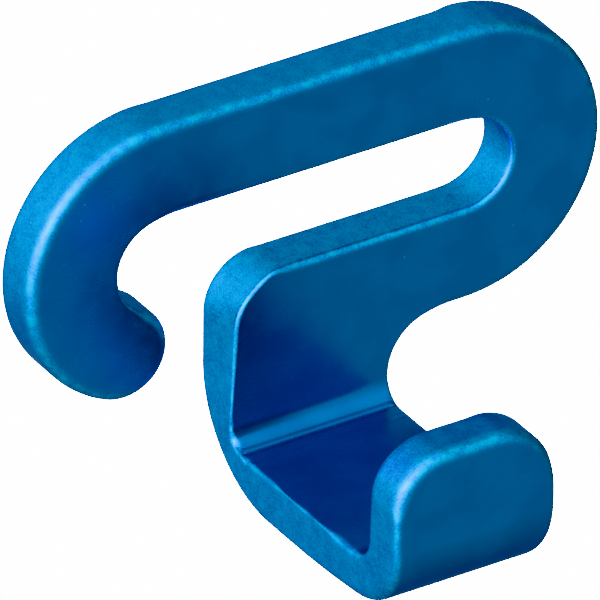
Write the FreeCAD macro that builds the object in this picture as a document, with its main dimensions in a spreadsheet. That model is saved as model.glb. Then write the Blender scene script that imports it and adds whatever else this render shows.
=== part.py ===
"""Webbing accessory hook: one piece of aluminium extrusion, cut to outline and rounded over.

A J-shaped section is extruded along X. The front outline is cut through it, which leaves an
open-ended loop for flat webbing above a narrow post and cradle. The front of the loop is then
cleared, the lip is trimmed, and every edge is rounded over.

The frame is as worn: +Z up, +X along the webbing slot, -Y towards the carried gear. The origin is
the centre of the webbing slot on the flat back face. Millimetres.
"""
import FreeCAD, Part
import os
from math import asin, cos, degrees, radians

import Sketcher

V = FreeCAD.Vector
START, END, CENTRE = 1, 2, 3  # the points of a sketched line or arc
X_AXIS, Y_AXIS = -1, -2  # a sketch's own axes

# ---------------------------------------------------------------- driving dimensions
DIMENSIONS = {
    # the webbing slot and the bar that runs round it
    "slot_length": 50.0,
    "slot_gap": 11.0,
    "bar_width": 11.7,
    "nose_drop": 10.55,
    "nose_heel": 5.75,
    # the post below the slot
    "post_left": -10.95,
    "post_width": 20.5,
    "entry_corner": 6.5,
    "notch": 6.2,
    # the extruded section
    "plate_thickness": 6.35,
    "floor_thickness": 5.85,
    "lip_thickness": 5.9,
    "floor_drop": 26.25,
    "cradle_depth": 27.9,
    "lip_drop": 11.2,
    "back_bend": 14.0,
    "front_bend": 9.8,
    "inner_bend": 2.6,
    "lip_root": 3.2,
    # rounding
    "lip_corner_left": 6.5,
    "lip_corner_right": 7.5,
    "edge_round": 1.4,
    # stock beyond the part that the cuts take away
    "waste": 5.0,
}
LOOP_RADIUS = "(dims.slot_gap / 2 + dims.bar_width)"
LOOP_CENTRE = "(dims.slot_length / 2 - dims.slot_gap / 2)"
STOCK_HALF_LENGTH = "(dims.slot_length / 2 + dims.bar_width + dims.waste)"
SECTION_BOTTOM = "(dims.floor_drop + dims.floor_thickness)"
SECTION_DEPTH = "(dims.plate_thickness + dims.cradle_depth + dims.lip_thickness)"
CORNER_ANGLE = 30.0  # degrees between two faces, above which their edge is rounded over

doc = FreeCAD.newDocument("webbing_hook")
dims = doc.addObject("Spreadsheet::Sheet", "dims")
for row, (alias, value) in enumerate(DIMENSIONS.items(), start=1):
    dims.set(f"A{row}", alias)
    dims.set(f"B{row}", str(value))
    dims.setAlias(f"B{row}", alias)
doc.recompute()


class Outline:
    """A sketch of closed loops of lines and arcs, laid out by values and driven by the sheet."""

    def __init__(self, body, name, role):
        plane = next(item for item in body.Origin.OriginFeatures if item.Role == role)
        self.sketch = body.newObject("Sketcher::SketchObject", name)
        self.sketch.AttachmentSupport = [(plane, "")]
        self.sketch.MapMode = "FlatFace"
        self.pieces = []

    def worth(self, expression):
        """What an expression comes to, in millimetres."""
        return float(self.sketch.evalExpression(expression))

    def line(self, first, last):
        """Adds a line, traced from one point to the other."""
        index = self.sketch.addGeometry(Part.LineSegment(V(*first, 0), V(*last, 0)))
        self.pieces.append((index, START, END))
        return index

    def arc(self, centre, radius, first, last):
        """Adds an arc, traced from one angle to the other in degrees, either way round."""
        circle = Part.Circle(V(*centre, 0), V(0, 0, 1), radius)
        low, high = sorted((first, last))
        index = self.sketch.addGeometry(Part.ArcOfCircle(circle, radians(low), radians(high)))
        self.pieces.append((index, START, END) if last > first else (index, END, START))
        return index

    def close(self, corners):
        """Joins the pieces so far into a loop, tangent except after the pieces in corners."""
        for piece, following in zip(self.pieces, self.pieces[1:] + self.pieces[:1]):
            kind = "Coincident" if piece[0] in corners else "Tangent"
            self.relate(kind, piece[0], piece[2], following[0], following[1])
        self.pieces = []

    def relate(self, kind, *where):
        """Adds a geometric constraint."""
        return self.sketch.addConstraint(Sketcher.Constraint(kind, *where))

    def square_up(self, upright, level):
        """Holds the lines in upright vertical and those in level horizontal."""
        for index in upright:
            self.relate("Vertical", index)
        for index in level:
            self.relate("Horizontal", index)

    def drive(self, kind, *where, by):
        """Adds a dimension bound to the sheet."""
        index = self.relate(kind, *where, self.worth(by))
        self.sketch.setExpression(f"Constraints[{index}]", by)


def checked_volume(body, feature, least=0.0, most=float("inf")):
    """Recomputes and returns the body's volume, after a look that the feature really worked."""
    doc.recompute()
    volume = body.Shape.Volume
    if not least < volume < most:
        raise RuntimeError(f"{feature.Name} left {volume:.0f} mm3")
    return volume


hook = doc.addObject("PartDesign::Body", "webbing_hook")
hook.Label = "webbing_hook"


# ---------------------------------------------------------------- the extruded J section
section = Outline(hook, "section", "YZ_Plane")
top = section.worth(LOOP_RADIUS)
bottom = -section.worth(SECTION_BOTTOM)
front = -section.worth(SECTION_DEPTH)
plate = -dims.plate_thickness
inside = front + dims.lip_thickness
floor = -dims.floor_drop
crest = -dims.lip_drop
back_bend = dims.back_bend
front_bend = dims.front_bend
inner_bend = dims.inner_bend
lip_root = dims.lip_root

back = section.line((0, top), (0, bottom + back_bend))
back_arc = section.arc((-back_bend, bottom + back_bend), back_bend, 0, -90)
underside = section.line((-back_bend, bottom), (front + front_bend, bottom))
front_arc = section.arc((front + front_bend, bottom + front_bend), front_bend, -90, -180)
lip_face = section.line((front, bottom + front_bend), (front, crest))
lip_top = section.line((front, crest), (inside, crest))
lip_back = section.line((inside, crest), (inside, floor + lip_root))
root_arc = section.arc((inside + lip_root, floor + lip_root), lip_root, 180, 270)
floor_top = section.line((inside + lip_root, floor), (plate - inner_bend, floor))
inner_arc = section.arc((plate - inner_bend, floor + inner_bend), inner_bend, 270, 360)
plate_face = section.line((plate, floor + inner_bend), (plate, top))
plate_top = section.line((plate, top), (0, top))
section.close(corners={lip_face, lip_top, plate_face, plate_top})
section.square_up(
    upright=(back, lip_face, lip_back, plate_face),
    level=(underside, lip_top, floor_top, plate_top),
)
section.relate("PointOnObject", back, START, Y_AXIS)
section.drive("DistanceY", back, START, by=LOOP_RADIUS)
section.drive("DistanceX", plate_face, START, by="-dims.plate_thickness")
section.drive("DistanceX", lip_face, END, by=f"-{SECTION_DEPTH}")
section.drive("DistanceX", lip_face, END, lip_back, START, by="dims.lip_thickness")
section.drive("DistanceY", lip_face, END, by="-dims.lip_drop")
section.drive("DistanceY", floor_top, START, by="-dims.floor_drop")
section.drive("DistanceY", underside, START, by=f"-{SECTION_BOTTOM}")
section.drive("Radius", back_arc, by="dims.back_bend")
section.drive("Radius", front_arc, by="dims.front_bend")
section.drive("Radius", root_arc, by="dims.lip_root")
section.drive("Radius", inner_arc, by="dims.inner_bend")

extrusion = hook.newObject("PartDesign::Pad", "extrusion")
extrusion.Profile = section.sketch
extrusion.Midplane = True
extrusion.setExpression("Length", f"2 * {STOCK_HALF_LENGTH}")
extruded_volume = checked_volume(hook, extrusion)


# ---------------------------------------------------------------- the outline, cut through
outline = Outline(hook, "outline", "XZ_Plane")
slot_round = dims.slot_gap / 2
heel_round = dims.nose_heel
heel_z = slot_round - heel_round
loop_radius = outline.worth(LOOP_RADIUS)
loop_x = outline.worth(LOOP_CENTRE)
stock_x = outline.worth(STOCK_HALF_LENGTH)
nose_round = dims.bar_width / 2
nose_angle = 180 + degrees(asin(dims.nose_drop / (loop_radius - nose_round)))
nose_x = -loop_x + (loop_radius - nose_round) * cos(radians(nose_angle))
post_left = dims.post_left
post_right = dims.post_left + dims.post_width
corner = dims.entry_corner
notch = dims.notch
below = bottom - dims.waste

post_edge = outline.line((post_left, below), (post_left, -slot_round - corner))
entry_arc = outline.arc((post_left + corner, -slot_round - corner), corner, 180, 90)
slot_floor = outline.line((post_left + corner, -slot_round), (loop_x, -slot_round))
slot_right = outline.arc((loop_x, 0), slot_round, -90, 90)
slot_roof = outline.line((loop_x, slot_round), (-loop_x, slot_round))
slot_left = outline.arc((-loop_x, heel_z), heel_round, 90, nose_angle)
nose = outline.arc((nose_x, -dims.nose_drop), nose_round, nose_angle + 180, nose_angle)
loop_left = outline.arc((-loop_x, 0), loop_radius, nose_angle, 90)
loop_top = outline.line((-loop_x, loop_radius), (loop_x, loop_radius))
loop_right = outline.arc((loop_x, 0), loop_radius, 90, -90)
loop_under = outline.line((loop_x, -loop_radius), (post_right + notch, -loop_radius))
notch_arc = outline.arc((post_right + notch, -loop_radius - notch), notch, 90, 180)
post_side = outline.line((post_right, -loop_radius - notch), (post_right, below))
post_end = outline.line((post_right, below), (post_left, below))
outline.close(corners={post_side, post_end})
outline.square_up(
    upright=(post_edge, post_side),
    level=(slot_floor, slot_roof, loop_top, loop_under, post_end),
)
outline.relate("PointOnObject", slot_right, CENTRE, X_AXIS)
outline.relate("Coincident", loop_right, CENTRE, slot_right, CENTRE)
outline.relate("PointOnObject", loop_left, CENTRE, X_AXIS)
outline.relate("Vertical", slot_left, CENTRE, loop_left, CENTRE)
outline.drive("DistanceX", slot_right, CENTRE, by=LOOP_CENTRE)
outline.drive("DistanceX", loop_left, CENTRE, by=f"-{LOOP_CENTRE}")
outline.drive("Radius", slot_right, by="dims.slot_gap / 2")
outline.drive("Radius", slot_left, by="dims.nose_heel")
outline.drive("Radius", loop_right, by=LOOP_RADIUS)
outline.drive("Radius", entry_arc, by="dims.entry_corner")
outline.drive("Radius", notch_arc, by="dims.notch")
outline.drive("DistanceY", nose, CENTRE, by="-dims.nose_drop")
outline.drive("DistanceX", post_edge, START, by="dims.post_left")
outline.drive("DistanceX", post_end, END, post_end, START, by="dims.post_width")
outline.drive("DistanceY", post_end, START, by=f"-{SECTION_BOTTOM} - dims.waste")

# a frame round the outline, so that the pocket takes what lies between the two
above = top + dims.waste
under = below - dims.waste
frame_top = outline.line((-stock_x, above), (stock_x, above))
frame_right = outline.line((stock_x, above), (stock_x, under))
frame_under = outline.line((stock_x, under), (-stock_x, under))
frame_left = outline.line((-stock_x, under), (-stock_x, above))
outline.close(corners={frame_top, frame_right, frame_under, frame_left})
outline.square_up(upright=(frame_left, frame_right), level=(frame_top, frame_under))
outline.drive("DistanceX", frame_top, START, by=f"-{STOCK_HALF_LENGTH}")
outline.drive("DistanceX", frame_top, END, by=STOCK_HALF_LENGTH)
outline.drive("DistanceY", frame_top, START, by=f"{LOOP_RADIUS} + dims.waste")
outline.drive("DistanceY", frame_under, START, by=f"-{SECTION_BOTTOM} - 2 * dims.waste")

outline_cut = hook.newObject("PartDesign::Pocket", "outline_cut")
outline_cut.Profile = outline.sketch
outline_cut.Type = "ThroughAll"
outline_cut.Midplane = True
outlined_volume = checked_volume(hook, outline_cut, most=extruded_volume)


# ---------------------------------------------------------------- the lip, trimmed from the front
lip = Outline(hook, "lip_outline", "XZ_Plane")
lip.sketch.setExpression("AttachmentOffset.Base.z", "dims.plate_thickness")
left_round = dims.lip_corner_left
right_round = dims.lip_corner_right
low_left = lip.line((-stock_x, floor), (post_left, floor))
lip_left = lip.line((post_left, floor), (post_left, crest - left_round))
left_arc = lip.arc((post_left + left_round, crest - left_round), left_round, 180, 90)
lip_crest = lip.line((post_left + left_round, crest), (post_right - right_round, crest))
right_arc = lip.arc((post_right - right_round, crest - right_round), right_round, 90, 0)
lip_right = lip.line((post_right, crest - right_round), (post_right, floor))
low_right = lip.line((post_right, floor), (stock_x, floor))
clear_right = lip.line((stock_x, floor), (stock_x, above))
clear_top = lip.line((stock_x, above), (-stock_x, above))
clear_left = lip.line((-stock_x, above), (-stock_x, floor))
lip.close(corners={low_left, lip_right, low_right, clear_right, clear_top, clear_left})
lip.square_up(
    upright=(lip_left, lip_right, clear_right, clear_left),
    level=(low_left, lip_crest, low_right, clear_top),
)
lip.drive("DistanceX", lip_left, START, by="dims.post_left")
lip.drive("DistanceX", lip_left, START, lip_right, END, by="dims.post_width")
lip.drive("DistanceY", lip_left, START, by="-dims.floor_drop")
lip.drive("DistanceY", lip_right, END, by="-dims.floor_drop")
lip.drive("DistanceY", lip_crest, START, by="-dims.lip_drop")
lip.drive("Radius", left_arc, by="dims.lip_corner_left")
lip.drive("Radius", right_arc, by="dims.lip_corner_right")
lip.drive("DistanceX", clear_left, START, by=f"-{STOCK_HALF_LENGTH}")
lip.drive("DistanceX", clear_right, START, by=STOCK_HALF_LENGTH)
lip.drive("DistanceY", clear_top, START, by=f"{LOOP_RADIUS} + dims.waste")

lip_cut = hook.newObject("PartDesign::Pocket", "lip_cut")
lip_cut.Profile = lip.sketch
lip_cut.Type = "ThroughAll"
lip_cut.Reversed = True
trimmed_volume = checked_volume(hook, lip_cut, most=outlined_volume)


# ---------------------------------------------------------------- rounding over
def normal_beside(face, edge):
    """The face's normal at the middle of one of its edges."""
    middle = edge.valueAt((edge.FirstParameter + edge.LastParameter) / 2)
    return face.normalAt(*face.Surface.parameter(middle))


def corner_edges(shape):
    """Names of the edges where two faces meet at a corner, and not tangent."""
    names = []
    for number, edge in enumerate(shape.Edges, start=1):
        one, other = shape.ancestorsOfType(edge, Part.Face)
        if normal_beside(one, edge).getAngle(normal_beside(other, edge)) > radians(CORNER_ANGLE):
            names.append(f"Edge{number}")
    return names


rounding = hook.newObject("PartDesign::Fillet", "rounding")
rounding.Base = (lip_cut, corner_edges(lip_cut.Shape))
rounding.setExpression("Radius", "dims.edge_round")
hook.Tip = rounding
checked_volume(hook, rounding, least=0.9 * trimmed_volume, most=trimmed_volume)


# ---------------------------------------------------------------- checks and export
for item in doc.Objects:
    if {"Invalid", "Error"} & set(item.State):
        raise RuntimeError(f"{item.Name} failed: {item.State}")
for item in (section, outline, lip):
    if not item.sketch.FullyConstrained:
        raise RuntimeError(f"{item.sketch.Name} isn't fully constrained")
if hook.Shape.isNull() or not hook.Shape.isValid() or len(hook.Shape.Solids) != 1:
    raise RuntimeError("the hook isn't one valid solid")
os.makedirs("parts", exist_ok=True)
hook.Shape.exportStep(f"parts/{hook.Label}.step")
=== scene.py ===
"""Webbing accessory hook, cut from one aluminium extrusion and anodised blue.

The frame is the CAD's: metres, +Z up, +X along the webbing slot, -Y towards the carried gear.
"""
from math import atan2, cos, degrees, hypot, pi, radians, sin, sqrt

import bpy
import numpy as np
from mathutils import Matrix, Vector
from mathutils.geometry import delaunay_2d_cdt


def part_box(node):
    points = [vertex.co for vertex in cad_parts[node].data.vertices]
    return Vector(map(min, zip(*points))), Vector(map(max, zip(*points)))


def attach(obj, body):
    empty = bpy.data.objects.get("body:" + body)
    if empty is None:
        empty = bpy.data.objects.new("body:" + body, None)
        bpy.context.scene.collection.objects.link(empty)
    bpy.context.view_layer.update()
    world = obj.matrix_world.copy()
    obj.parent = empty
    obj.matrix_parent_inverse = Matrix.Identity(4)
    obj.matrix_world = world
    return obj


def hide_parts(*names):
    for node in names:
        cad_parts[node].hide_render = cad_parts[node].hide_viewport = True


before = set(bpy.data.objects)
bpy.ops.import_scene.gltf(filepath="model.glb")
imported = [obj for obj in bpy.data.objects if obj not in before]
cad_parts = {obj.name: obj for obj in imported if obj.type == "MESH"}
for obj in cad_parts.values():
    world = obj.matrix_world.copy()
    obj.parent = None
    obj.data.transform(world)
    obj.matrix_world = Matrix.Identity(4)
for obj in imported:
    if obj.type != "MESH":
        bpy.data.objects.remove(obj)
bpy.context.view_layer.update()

MM = 0.001

# ---------------------------------------------------------------- the hook: the extruded section
# The bar is extruded aluminium with a J-shaped section: a plate, a floor and an upturned lip.
# All sizes are in millimetres. A place on the section is its run: the distance along the
# section's inside, counted so that on the plate it is simply the height Z.
low, high = (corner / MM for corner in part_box("webbing_hook"))
PLATE = 6.35
FLOOR = -26.25
CRADLE = 27.9
LIP = 5.9
CREST = -11.2
BACK_BEND = 14.0
FRONT_BEND = 9.8
INNER_BEND = 2.6
LIP_ROOT = 3.2

lip_back = -(PLATE + CRADLE)
lip_face = lip_back - LIP
bottom = low.z
inner_centre = (-PLATE - INNER_BEND, FLOOR + INNER_BEND)
root_centre = (lip_back + LIP_ROOT, FLOOR + LIP_ROOT)
back_centre = (-BACK_BEND, bottom + BACK_BEND)
front_centre = (lip_face + FRONT_BEND, bottom + FRONT_BEND)

plate_end = FLOOR + INNER_BEND
floor_start = plate_end - INNER_BEND * pi / 2
floor_end = floor_start - (inner_centre[0] - root_centre[0])
lip_start = floor_end - LIP_ROOT * pi / 2
crest_run = lip_start - (CREST - root_centre[1])


def reach(y, z, dy, dz, centre, radius):
    """How far it is from a point inside a circle, in a direction, to the circle."""
    along = (y - centre[0]) * dy + (z - centre[1]) * dz
    beyond = (y - centre[0]) ** 2 + (z - centre[1]) ** 2 - radius**2
    return -along + np.sqrt(np.maximum(along**2 - beyond, 0))


def section_at(run):
    """The inside point (Y, Z), the way through the metal and its thickness, at each run."""
    run = np.asarray(run, float)
    on_plate = run >= plate_end
    on_bend = (run < plate_end) & (run >= floor_start)
    on_floor = (run < floor_start) & (run >= floor_end)
    on_root = (run < floor_end) & (run >= lip_start)
    turn = np.select(
        [on_plate, on_bend, on_floor, on_root],
        [0 * run, (run - plate_end) / INNER_BEND, 0 * run - pi / 2, -pi / 2 + (run - floor_end) / LIP_ROOT],
        -pi,
    )
    dy, dz = np.cos(turn), np.sin(turn)
    y = np.select(
        [on_plate, on_bend, on_floor, on_root],
        [
            0 * run - PLATE,
            inner_centre[0] + INNER_BEND * dy,
            inner_centre[0] - (floor_start - run),
            root_centre[0] + LIP_ROOT * dy,
        ],
        lip_back,
    )
    z = np.select(
        [on_plate, on_bend, on_floor, on_root],
        [run, inner_centre[1] + INNER_BEND * dz, 0 * run + FLOOR, root_centre[1] + LIP_ROOT * dz],
        root_centre[1] + (lip_start - run),
    )
    to_back = reach(y, z, dy, dz, back_centre, BACK_BEND)
    to_front = reach(y, z, dy, dz, front_centre, FRONT_BEND)
    through = np.select(
        [
            on_plate & (z >= back_centre[1]),
            on_plate | (on_bend & (y + to_back * dy > back_centre[0])),
            on_floor & (y > back_centre[0]),
            on_floor & (y >= front_centre[0]),
            on_bend,
            on_floor | on_root,
            (~on_root) & (z < front_centre[1]),
        ],
        [
            PLATE,
            to_back,
            to_back,
            z - bottom,
            (z - bottom) / np.maximum(-dz, 0.1),
            to_front,
            to_front,
        ],
        LIP,
    )
    return y, z, dy, dz, through


# ---------------------------------------------------------------- the hook: the outline cut through it
# The outline is cut straight through the section: an open-ended loop for flat webbing, a round
# nose beside the entry, and a narrow post that carries on round the section to the lip.
SLOT_GAP = 11.0
NOSE_DROP = 10.55
NOSE_HEEL = 5.75
POST_LEFT = -10.95
POST_RIGHT = 9.55
ENTRY_CORNER = 6.5
NOTCH = 6.2
LIP_CORNER_LEFT = 6.5
LIP_CORNER_RIGHT = 7.5
STEP = 0.33  # between points along the outline

slot_round = SLOT_GAP / 2
loop_radius = high.z
loop_x = high.x - loop_radius
heel_z = slot_round - NOSE_HEEL
# the nose is the circle that touches both the loop's outside and the slot's heel
squares = NOSE_DROP**2 - (NOSE_DROP + heel_z) ** 2
nose_round = (loop_radius - NOSE_HEEL - squares / (loop_radius + NOSE_HEEL)) / 2
nose_back = sqrt((loop_radius - nose_round) ** 2 - NOSE_DROP**2)
nose_x = -loop_x - nose_back
nose_angle = degrees(atan2(-NOSE_DROP, -nose_back)) + 360
heel_angle = degrees(atan2(-NOSE_DROP - heel_z, -nose_back)) + 360
outline, outline_at = [], {}


def post_runs(first, last):
    """Runs down the post, close together where the section bends."""
    runs = [first]
    while runs[-1] > last:
        here = runs[-1]
        if floor_start - 1.8 < here <= plate_end + 1.0:
            gap = 0.13
        elif lip_start - 0.5 < here <= floor_end + 0.5:
            gap = 0.12
        else:
            gap = STEP
        runs.append(here - gap)
    runs[-1] = last
    return runs


def cut_line(name, first, last):
    """Follows a straight cut; down or up the post its points keep the section's rows."""
    outline_at[name] = len(outline)
    if first[0] == last[0] and max(first[1], last[1]) < -slot_round:
        rows = post_runs(max(first[1], last[1]), min(first[1], last[1]))
        rows = rows if first[1] > last[1] else rows[::-1]
        outline.extend((first[0], row) for row in rows[:-1])
        return
    count = max(2, round(hypot(last[0] - first[0], last[1] - first[1]) / STEP))
    for n in range(count):
        share = n / count
        outline.append((first[0] + share * (last[0] - first[0]), first[1] + share * (last[1] - first[1])))


def cut_arc(name, centre, radius, first, last):
    """Follows a round cut from one angle to the other, in degrees."""
    outline_at[name] = len(outline)
    count = max(6, round(abs(radians(last - first)) * radius / STEP))
    for n in range(count):
        angle = radians(first + (last - first) * n / count)
        outline.append((centre[0] + radius * cos(angle), centre[1] + radius * sin(angle)))


cut_line("post_left", (POST_LEFT, crest_run + LIP_CORNER_LEFT), (POST_LEFT, -slot_round - ENTRY_CORNER))
cut_arc("entry", (POST_LEFT + ENTRY_CORNER, -slot_round - ENTRY_CORNER), ENTRY_CORNER, 180, 90)
cut_line("slot_floor", (POST_LEFT + ENTRY_CORNER, -slot_round), (loop_x, -slot_round))
cut_arc("slot_right", (loop_x, 0), slot_round, -90, 90)
cut_line("slot_roof", (loop_x, slot_round), (-loop_x, slot_round))
cut_arc("slot_left", (-loop_x, heel_z), NOSE_HEEL, 90, heel_angle)
cut_arc("nose", (nose_x, -NOSE_DROP), nose_round, heel_angle + 180, nose_angle)
cut_arc("loop_left", (-loop_x, 0), loop_radius, nose_angle, 90)
cut_line("loop_top", (-loop_x, loop_radius), (loop_x, loop_radius))
cut_arc("loop_right", (loop_x, 0), loop_radius, 90, -90)
cut_line("loop_under", (loop_x, -loop_radius), (POST_RIGHT + NOTCH, -loop_radius))
cut_arc("notch", (POST_RIGHT + NOTCH, -loop_radius - NOTCH), NOTCH, 90, 180)
cut_line("post_right", (POST_RIGHT, -loop_radius - NOTCH), (POST_RIGHT, crest_run + LIP_CORNER_RIGHT))
right_corner = (POST_RIGHT - LIP_CORNER_RIGHT, crest_run + LIP_CORNER_RIGHT)
cut_arc("crest_right", right_corner, LIP_CORNER_RIGHT, 0, -90)
cut_line("crest", (POST_RIGHT - LIP_CORNER_RIGHT, crest_run), (POST_LEFT + LIP_CORNER_LEFT, crest_run))
left_corner = (POST_LEFT + LIP_CORNER_LEFT, crest_run + LIP_CORNER_LEFT)
cut_arc("crest_left", left_corner, LIP_CORNER_LEFT, -90, -180)
outline = np.array(outline)
ahead = np.roll(outline, -1, 0) - np.roll(outline, 1, 0)
outward = np.stack([-ahead[:, 1], ahead[:, 0]], 1) / np.hypot(*ahead.T)[:, None]


# ---------------------------------------------------------------- the hook: edges rounded by hand
# Every edge is broken with a file and then tumbled, so the rounding varies: full on the loop,
# slighter inside the slot, and least along the cradle's left edge, which is left uneven.
ROUNDING = {
    # cut: (edge on the section's inside, edge on its outside)
    "post_left": (1.0, 0.8),
    "entry": (0.6, 0.8),
    "slot_floor": (0.95, 1.1),
    "slot_right": (0.8, 0.9),
    "slot_roof": (1.35, 0.9),
    "slot_left": (0.6, 0.9),
    "nose": (1.6, 1.0),
    "loop_left": (1.55, 1.1),
    "loop_top": (1.4, 1.3),
    "loop_right": (1.5, 0.6),
    "loop_under": (1.4, 0.8),
    "notch": (0.7, 0.7),
    "post_right": (0.8, 0.9),
    "crest_right": (0.8, 1.5),
    "crest": (1.1, 1.5),
    "crest_left": (1.2, 1.6),
}
LIP_ROUNDING = {
    # run round the outside of the post, towards the plate: rounding
    crest_run: 1.6,
    crest_run + 6.5: 1.1,
    crest_run + 9.5: 0.8,
    lip_start: 1.0,
    floor_end: 1.8,
    floor_end + 4.0: 1.2,
    floor_end + 9.0: 0.8,
}
ROUND_STEPS = 9
SOFTNESS = 2.3  # 2 is a plain arc; more eases into the faces as tumbling does
WALL_STEPS = 9
MARGIN = 0.22  # a flat strip inside each rounding, so that it shades cleanly
UNEVENNESS = 0.16  # how far the rounding of the cradle's left edge strays
LEAST_ROUNDING = 0.16
LEAN = 0.6  # how far the cut face beside the entry leans in at its front
EASE = 6  # points over which one cut's rounding turns into the next one's

chance = np.random.default_rng(11)
count = len(outline)
inside_edge, outside_edge = np.zeros(count), np.zeros(count)
names = list(outline_at)
for name, following in zip(names, names[1:] + [None]):
    span = slice(outline_at[name], outline_at[following] if following else count)
    inside_edge[span], outside_edge[span] = ROUNDING[name]


def ease(values, reach_points):
    """Evens out a value round the closed outline."""
    kernel = np.hanning(2 * reach_points + 1)
    wrapped = np.concatenate([values[-reach_points:], values, values[:reach_points]])
    return np.convolve(wrapped, kernel / kernel.sum(), "valid")


on_post_left = np.zeros(count, bool)
on_post_left[: outline_at["entry"]] = True
run_left = outline[:, 1]
HAND_FILED = {
    # run down the post's left edge: rounding
    crest_run + LIP_CORNER_LEFT: 1.2,
    lip_start - 1.0: 0.9,
    lip_start + 1.0: 0.8,
    floor_end + 1.0: 0.9,
    floor_end + 5.0: 0.35,
    floor_end + 12.0: 0.25,
    floor_start - 7.0: 0.3,
    floor_start - 1.5: 0.7,
    plate_end - 1.0: 0.7,
    plate_end + 1.0: 0.35,
    plate_end + 5.0: 0.45,
    -slot_round - ENTRY_CORNER: 0.6,
}
narrow = np.interp(run_left, list(HAND_FILED), list(HAND_FILED.values()))
inside_edge = np.where(on_post_left, narrow, inside_edge)
wobble = ease(chance.normal(size=count), 7)
wobble *= UNEVENNESS / wobble.std()
hand_cut = on_post_left & (run_left < plate_end + 0.5) & (run_left > floor_end + 1.5)
inside_edge = ease(inside_edge, EASE) + np.where(hand_cut, wobble, 0.1 * wobble)
inside_edge = np.maximum(inside_edge, LEAST_ROUNDING)
# the file also leans that cut face over, most at the corner beside the entry
lean = np.interp(run_left, [plate_end + 1, -slot_round - ENTRY_CORNER], [0.0, LEAN])
lean = np.where(run_left < -slot_round - 0.5, lean, 0.0)
lean[outline_at["slot_floor"] :] = 0.0
lean = ease(lean, 9)
on_post = on_post_left | (np.arange(count) >= outline_at["post_right"])
on_post &= outline[:, 1] < floor_end + 9.0
lip_edge = np.interp(run_left, list(LIP_ROUNDING), list(LIP_ROUNDING.values()))
outside_edge = ease(np.where(on_post & (run_left > crest_run + 7.0), lip_edge, outside_edge), EASE)


def rounded_corner(step):
    """How far a rounding is below the face and in from the cut, as shares of its size."""
    angle = pi / 2 * step / ROUND_STEPS
    return 1 - max(cos(angle), 0) ** (2 / SOFTNESS), 1 - sin(angle) ** (2 / SOFTNESS)


depths, setbacks = [], []
depths.append(0 * inside_edge)
setbacks.append(inside_edge + MARGIN)
for n in range(ROUND_STEPS + 1):
    sunk, stood = rounded_corner(n)
    depths.append(inside_edge * sunk)
    setbacks.append(inside_edge * stood)
through = section_at(outline[:, 1])[4]
for n in range(1, WALL_STEPS):
    share = n / WALL_STEPS
    depths.append((1 - share) * inside_edge + share * (through - outside_edge))
    setbacks.append(0 * inside_edge)
first_back = len(depths)
for n in range(ROUND_STEPS, -1, -1):
    sunk, stood = rounded_corner(n)
    depths.append(outside_edge * sunk)
    setbacks.append(outside_edge * stood)
depths.append(0 * outside_edge)
setbacks.append(outside_edge + MARGIN)
how_deep = [depth / through for depth in depths[:first_back]]
how_deep += [1 + 0 * through] * (len(depths) - first_back)
setbacks = [setback + lean * (1 - share) for setback, share in zip(setbacks, how_deep)]


def place(flat, depth, from_back=False):
    """Puts points of the flat outline, sunk to a depth, where the section has them."""
    y, z, dy, dz, through = section_at(flat[:, 1])
    depth = through - depth if from_back else depth
    return np.stack([flat[:, 0], y + dy * depth, z + dz * depth], 1)


rings = [
    place(outline - outward * setback[:, None], depth, n >= first_back)
    for n, (depth, setback) in enumerate(zip(depths, setbacks))
]


def fill(border, spacing):
    """Triangles over the flat outline inside a border, on a grid that is finer in the bends."""
    rows = [*np.arange(loop_radius, -slot_round - ENTRY_CORNER, -spacing)]
    rows += post_runs(rows[-1] - spacing, crest_run)
    grid = []
    for n, row in enumerate(rows):
        across = np.arange(-loop_x - loop_radius, loop_x + loop_radius, spacing) + (n % 2) * spacing / 2
        grid.append(np.stack([across, np.full(len(across), row)], 1))
    grid = np.concatenate(grid)
    following = np.roll(border, -1, 0)
    keep = np.zeros(len(grid), bool)
    for start in range(0, len(grid), 2000):
        part = grid[start : start + 2000, None]
        edge = following - border
        spans = (border[:, 1] > part[..., 1]) != (following[:, 1] > part[..., 1])
        with np.errstate(divide="ignore", invalid="ignore"):
            meet = border[:, 0] + (part[..., 1] - border[:, 1]) * edge[:, 0] / edge[:, 1]
        inside = (spans & (part[..., 0] < meet)).sum(1) % 2 == 1
        near = ((part - border) ** 2).sum(-1).min(1) < (0.3 * spacing) ** 2
        keep[start : start + 2000] = inside & ~near
    grid = grid[keep]
    flat = np.concatenate([border, grid])
    found = delaunay_2d_cdt([Vector(p) for p in flat], [], [list(range(len(border)))], 1, 1e-6)
    source = [origin[0] for origin in found[3]]
    return grid, [[source[corner] for corner in face] for face in found[2]]


vertices = list(rings)
faces = []
for n in range(len(rings) - 1):
    here = np.arange(count)
    beside = np.roll(here, -1)
    quad = np.stack([here, beside, beside + count, here + count], 1) + n * count
    faces.extend(quad.tolist())
total = len(rings) * count
grids = []
for back in (False, True):
    ring = len(rings) - 1 if back else 0
    border = outline - outward * setbacks[ring][:, None]
    grid, triangles = fill(border, 0.55)
    grids.append(grid)
    vertices.append(place(grid, np.zeros(len(grid)), back))
    numbers = np.concatenate([np.arange(count) + ring * count, np.arange(len(grid)) + total])
    for face in triangles:
        corners = [int(numbers[corner]) for corner in face]
        faces.append(corners[::-1] if back else corners)
    total += len(grid)
vertices = np.concatenate(vertices) * MM
inside_grid, outside_grid = grids
on_inside = np.array([1.0 if n < 2 else 0.0 for n in range(len(rings))])
rounded = np.clip((np.arange(len(rings)) - 1) / ROUND_STEPS, 0, 1)
on_cut = np.minimum(rounded, rounded[::-1])  # 0 on the extruded faces, 1 across the cut ones

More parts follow.
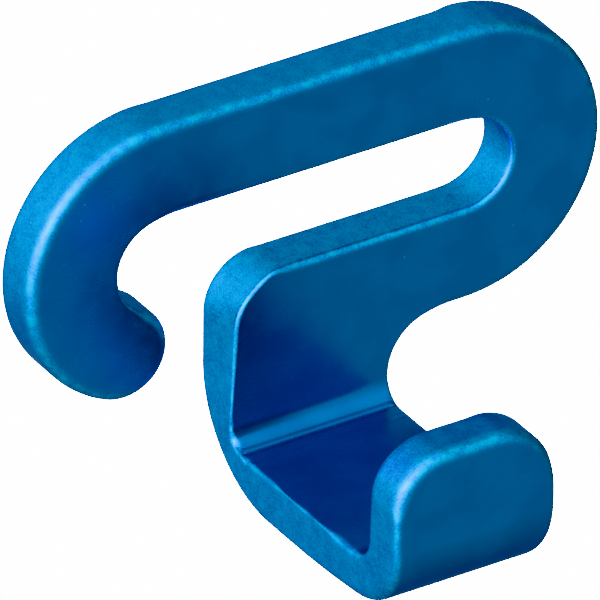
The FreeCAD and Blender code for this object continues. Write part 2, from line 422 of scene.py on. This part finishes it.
blank_mesh = bpy.data.meshes.new("hook_blank")
blank_mesh.from_pydata(vertices.tolist(), [], faces)
blank_mesh.validate()
blank_mesh.shade_smooth()
runs = np.concatenate([np.tile(outline[:, 1], len(rings)), inside_grid[:, 1], outside_grid[:, 1]])
faces_inside = [np.ones(len(inside_grid)), np.zeros(len(outside_grid))]
on_inside = np.concatenate([np.repeat(on_inside, count), *faces_inside])
on_cut = np.concatenate([np.repeat(on_cut, count), np.zeros(len(inside_grid) + len(outside_grid))])
for name, values in (("run", runs * MM), ("inside", on_inside), ("cut", on_cut)):
    blank_mesh.attributes.new(name, "FLOAT", "POINT").data.foreach_set("value", values.astype(np.float32))
blank = bpy.data.objects.new("hook_blank", blank_mesh)
bpy.context.scene.collection.objects.link(blank)


# ---------------------------------------------------------------- the hook: its anodised surface
# The sawn and filed part is tumbled with stones, etched, dyed blue in the anodising bath and
# sealed. That leaves a fine satin grain, with the die's lines still showing in the inner bend.
def linear(code):
    """Turns an sRGB hex colour into linear light."""
    parts = [int(code[n : n + 2], 16) / 255 for n in (1, 3, 5)]
    return (*[p / 12.92 if p <= 0.04045 else ((p + 0.055) / 1.055) ** 2.4 for p in parts], 1.0)


def add(tree, kind, inputs=(), **settings):
    """Adds a node, with its settings and with values or links for its inputs."""
    made = tree.nodes.new(kind)
    for name, value in settings.items():
        setattr(made, name, value)
    for key, value in dict(inputs).items():
        if isinstance(value, bpy.types.NodeSocket):
            tree.links.new(value, made.inputs[key])
        else:
            made.inputs[key].default_value = value
    return made


def total_of(operation, first, second, tree):
    """The result of one sum on two numbers or sockets."""
    return add(tree, "ShaderNodeMath", {0: first, 1: second}, operation=operation).outputs[0]


anodised = bpy.data.materials.new("blue_anodised_aluminium")
anodised.use_nodes = True
skin = anodised.node_tree
shader = skin.nodes["Principled BSDF"]
shader.inputs["Metallic"].default_value = 1.0
shader.inputs["Specular Tint"].default_value = linear("#18A4D8")
shader.inputs["Coat Weight"].default_value = 0.06
shader.inputs["Coat Roughness"].default_value = 0.2
shader.inputs["Coat IOR"].default_value = 1.6
place_mm = add(
    skin,
    "ShaderNodeVectorMath",
    {0: add(skin, "ShaderNodeTexCoord").outputs["Object"], "Scale": 1 / MM},
    operation="SCALE",
).outputs[0]
on_cut_face = add(skin, "ShaderNodeAttribute", attribute_name="cut").outputs["Fac"]


def noise_mm(size, detail, roughness):
    """Noise whose patches are a size in millimetres."""
    wanted = {"Vector": place_mm, "Scale": 1 / size, "Detail": detail, "Roughness": roughness}
    return add(skin, "ShaderNodeTexNoise", wanted).outputs[0]


def between(value, low, high, first, last, smooth="SMOOTHSTEP"):
    """Turns the part of a value from low to high into first to last."""
    wanted = {"Value": value, "From Min": low, "From Max": high, "To Min": first, "To Max": last}
    return add(skin, "ShaderNodeMapRange", wanted, interpolation_type=smooth).outputs[0]


def mixed(share, first, last):
    """Blends two colours by a share."""
    return add(skin, "ShaderNodeMix", {"Factor": share, "A": first, "B": last}, data_type="RGBA").outputs[2]


# the etch leaves grains of 0.05 mm; drawn at 0.2 mm, they give the sparkle in the highlights
grain = noise_mm(0.2, 2.0, 0.65)
coarse = between(on_cut_face, 0.0, 0.35, 0.06, 1.3)  # the extruded faces are smoother
# the saw and the file leave the cut faces mottled, in patches of 1 to 3 mm
patches = noise_mm(1.5, 4.0, 0.62)
smears = noise_mm(5.5, 2.0, 0.5)
filed = total_of("MULTIPLY", total_of("MULTIPLY", patches, on_cut_face, skin), 3.6, skin)
relief = total_of("ADD", total_of("MULTIPLY", grain, coarse, skin), filed, skin)
etch = add(skin, "ShaderNodeBump", {"Height": relief, "Strength": 1.0, "Distance": 0.02 * MM})
skin.links.new(etch.outputs[0], shader.inputs["Normal"])
# dye takes unevenly where the metal was worked, and a little more strongly on the extruded skin
dye = mixed(between(smears, 0.35, 0.65, 0.0, 1.0), linear("#0062A2"), linear("#0069A8"))
worked = between(patches, 0.38, 0.66, 0.0, 1.0)
paler = total_of("MULTIPLY", worked, total_of("MULTIPLY", on_cut_face, 0.7, skin), skin)
dye = mixed(paler, dye, linear("#0084BC"))
sparkle = total_of("MULTIPLY", between(grain, 0.36, 0.64, 0.0, 0.5), coarse, skin)
dye = mixed(sparkle, dye, linear("#0098CE"))
# painted highlight along the rounded edges: they are made a little paler cyan, in patches, partly for the
# light the roundings catch and partly for dye rubbed thin by handling
at_edge = total_of("MULTIPLY", on_cut_face, total_of("SUBTRACT", 1.0, on_cut_face, skin), skin)
edge_highlight_and_wear = between(at_edge, 0.12, 0.25, 0.0, 0.5)
edge_highlight_and_wear = total_of("MULTIPLY", edge_highlight_and_wear, between(patches, 0.45, 0.62, 0.0, 1.0), skin)
# the paler cyan mixed in here is a painted edge highlight, with some wear of the dye
dye = mixed(edge_highlight_and_wear, dye, linear("#18A4C8"))
# a few pin-pricks in the dye, 0.2 mm across, show bare metal
pricks = add(skin, "ShaderNodeTexVoronoi", {"Vector": place_mm, "Scale": 1 / 3.4, "Randomness": 1.0})
dye = mixed(between(pricks.outputs["Distance"], 0.022, 0.04, 0.55, 0.0), dye, linear("#7CC3DE"))
skin.links.new(dye, shader.inputs["Base Color"])
satin = between(patches, 0.3, 0.7, -0.02, 0.03, "LINEAR")
satin = total_of("ADD", between(smears, 0.3, 0.7, 0.24, 0.28), satin, skin)
satin = total_of("ADD", satin, total_of("MULTIPLY", on_cut_face, 0.05, skin), skin)
skin.links.new(satin, shader.inputs["Roughness"])

tumbled = bpy.data.node_groups.new("tumbled_surface", "GeometryNodeTree")
sockets = {}
for name, kind in (
    ("Hook", "NodeSocketGeometry"),
    ("Ripple height", "NodeSocketFloat"),
    ("Ripple size", "NodeSocketFloat"),
    ("Die line depth", "NodeSocketFloat"),
    ("Die line spacing", "NodeSocketFloat"),
    ("Seed", "NodeSocketFloat"),
    ("Surface", "NodeSocketMaterial"),
):
    sockets[name] = tumbled.interface.new_socket(name, in_out="INPUT", socket_type=kind).identifier
tumbled.interface.new_socket("Hook", in_out="OUTPUT", socket_type="NodeSocketGeometry")
given = add(tumbled, "NodeGroupInput").outputs


# stones leave the faces very slightly uneven
ripple = add(
    tumbled,
    "ShaderNodeTexNoise",
    {
        "Vector": add(tumbled, "GeometryNodeInputPosition").outputs[0],
        "W": given["Seed"],
        "Scale": total_of("DIVIDE", 1.0, given["Ripple size"], tumbled),
        "Detail": 1.5,
    },
    noise_dimensions="4D",
)
uneven = total_of("SUBTRACT", ripple.outputs[0], 0.5, tumbled)
uneven = total_of("MULTIPLY", uneven, given["Ripple height"], tumbled)
# die lines run along the extrusion, and deepest where the inside bend meets the floor
run = add(tumbled, "GeometryNodeInputNamedAttribute", {"Name": "run"}, data_type="FLOAT").outputs[0]
inside = add(tumbled, "GeometryNodeInputNamedAttribute", {"Name": "inside"}, data_type="FLOAT").outputs[0]
across = total_of("DIVIDE", run, given["Die line spacing"], tumbled)
across = total_of("ADD", across, given["Seed"], tumbled)
line_noise = {"W": across, "Scale": 1.0, "Detail": 2.0}
lines = add(tumbled, "ShaderNodeTexNoise", line_noise, noise_dimensions="1D")
from_bend = total_of("SUBTRACT", run, (floor_start + 0.4) * MM, tumbled)
near_bend = add(
    tumbled,
    "ShaderNodeMapRange",
    {
        "Value": total_of("ABSOLUTE", from_bend, 0.0, tumbled),
        "From Min": 1.1 * MM,
        "From Max": 2.8 * MM,
        "To Min": 1.0,
        "To Max": 0.0,
    },
    interpolation_type="SMOOTHSTEP",
)
scored = total_of("SUBTRACT", lines.outputs[0], 0.5, tumbled)
scored = total_of("MULTIPLY", scored, near_bend.outputs[0], tumbled)
scored = total_of("MULTIPLY", scored, inside, tumbled)
scored = total_of("MULTIPLY", scored, given["Die line depth"], tumbled)
normal = add(tumbled, "GeometryNodeInputNormal").outputs[0]
height = total_of("ADD", uneven, scored, tumbled)
along_normal = add(tumbled, "ShaderNodeVectorMath", {0: normal, "Scale": height}, operation="SCALE")
surface = {"Geometry": given["Hook"], "Offset": along_normal.outputs[0]}
moved = add(tumbled, "GeometryNodeSetPosition", surface)
whole = add(tumbled, "GeometryNodeRealizeInstances", {"Geometry": moved.outputs[0]})
finish = {"Geometry": whole.outputs[0], "Material": given["Surface"]}
coated = add(tumbled, "GeometryNodeSetMaterial", finish)
add(tumbled, "NodeGroupOutput", {"Hook": coated.outputs[0]})

tumble = blank.modifiers.new("tumbled_surface", "NODES")
tumble.node_group = tumbled
tumble[sockets["Ripple height"]] = 0.05 * MM
tumble[sockets["Ripple size"]] = 7.0 * MM
tumble[sockets["Die line depth"]] = 0.30 * MM
tumble[sockets["Die line spacing"]] = 0.55 * MM
tumble[sockets["Seed"]] = 4.0
tumble[sockets["Surface"]] = anodised
finished = blank.evaluated_get(bpy.context.evaluated_depsgraph_get())
hook_mesh = bpy.data.meshes.new_from_object(finished)
hook_mesh.name = "hook"
hook = bpy.data.objects.new("hook", hook_mesh)
bpy.context.scene.collection.objects.link(hook)
bpy.data.objects.remove(blank)
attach(hook, "root")
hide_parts("webbing_hook")


# ---------------------------------------------------------------- the floor, the light and the camera
# A glowing white table with large soft boxes round it. The table takes no part in reflections or
# shadows, so light from below reaches the hook.
FLOOR_GAP = 0.1  # the tumbled surface is uneven by less than this
bpy.ops.mesh.primitive_plane_add(size=6, location=(0, 0, (bottom - FLOOR_GAP) * MM))
table = bpy.context.object
table.name = "floor"
table.visible_glossy = table.visible_shadow = False
acrylic = bpy.data.materials.new("white_acrylic")
acrylic.use_nodes = True
top = acrylic.node_tree.nodes["Principled BSDF"]
top.inputs["Base Color"].default_value = linear("#808080")
top.inputs["Roughness"].default_value = 0.9
top.inputs["Emission Color"].default_value = (1, 1, 1, 1)
top.inputs["Emission Strength"].default_value = 10.0
table.data.materials.append(acrylic)

# All the boxes are white: a narrow key to the left, a wide one beside it, and weaker ones round.
SOFT_BOXES = {
    # name: (azimuth from +X, elevation, spread in degrees, strength)
    "key": (-155, 20, 20, 8.0),
    "side": (-165, 15, 40, 1.5),
    "overhead": (-120, 60, 30, 2.0),
    "front": (-60, 10, 30, 0.5),
    "back": (100, 10, 40, 1.0),
    "below": (-120, -50, 40, 0.5),
}
world = bpy.data.worlds.new("studio")
bpy.context.scene.world = world
world.use_nodes = True
room = world.node_tree
towards = add(room, "ShaderNodeTexCoord").outputs["Object"]
WALL_GLOW = 0.05  # what the pale walls send back
light = WALL_GLOW
for name, (azimuth, elevation, spread, strength) in SOFT_BOXES.items():
    aim = (
        cos(radians(azimuth)) * cos(radians(elevation)),
        sin(radians(azimuth)) * cos(radians(elevation)),
        sin(radians(elevation)),
    )
    facing = add(room, "ShaderNodeVectorMath", {0: towards, 1: aim}, operation="DOT_PRODUCT")
    short = total_of("SUBTRACT", facing.outputs["Value"], 1.0, room)
    fall = total_of("MULTIPLY", short, 1 / radians(spread) ** 2, room)
    glow = add(room, "ShaderNodeMath", {0: fall}, operation="EXPONENT", label=name).outputs[0]
    light = total_of("ADD", light, total_of("MULTIPLY", glow, strength, room), room)
background = room.nodes["Background"]
room.links.new(light, background.inputs["Color"])
plain = add(room, "ShaderNodeBackground", {"Color": (1, 1, 1, 1), "Strength": 10.0})
# beyond the table the camera sees plain white
direct = add(room, "ShaderNodeLightPath").outputs["Is Camera Ray"]
seen = add(room, "ShaderNodeMixShader", {0: direct, 1: background.outputs[0], 2: plain.outputs[0]})
room.links.new(seen.outputs[0], room.nodes["World Output"].inputs["Surface"])

AZIMUTH, ELEVATION, ROLL = -32.25, 31.5, 0.45
DISTANCE, WIDTH = 2.9, 65.2
turn, rise, tilt = radians(AZIMUTH), radians(ELEVATION), radians(ROLL)
right = Vector((cos(turn), sin(turn), 0))
back = Vector((sin(turn) * cos(rise), -cos(turn) * cos(rise), sin(rise)))
up = back.cross(right)
right, up = right * cos(tilt) + up * sin(tilt), up * cos(tilt) - right * sin(tilt)
# it looks at the plate's front face, a little left of the middle and below the slot
target = Vector((-2.2, -PLATE, -10.18)) * MM + right * 0.03 * MM
lens = bpy.data.cameras.new("camera")
lens.lens = 36 * DISTANCE / (WIDTH * MM)
lens.clip_start, lens.clip_end = 0.1, 10
camera = bpy.data.objects.new("camera", lens)
camera.matrix_world = Matrix((
    (right.x, up.x, back.x, 0),
    (right.y, up.y, back.y, 0),
    (right.z, up.z, back.z, 0),
    (0, 0, 0, 1),
))
camera.location = target + back * DISTANCE
bpy.context.scene.collection.objects.link(camera)
bpy.context.scene.camera = camera
bpy.context.scene.view_settings.view_transform = "Khronos PBR Neutral"
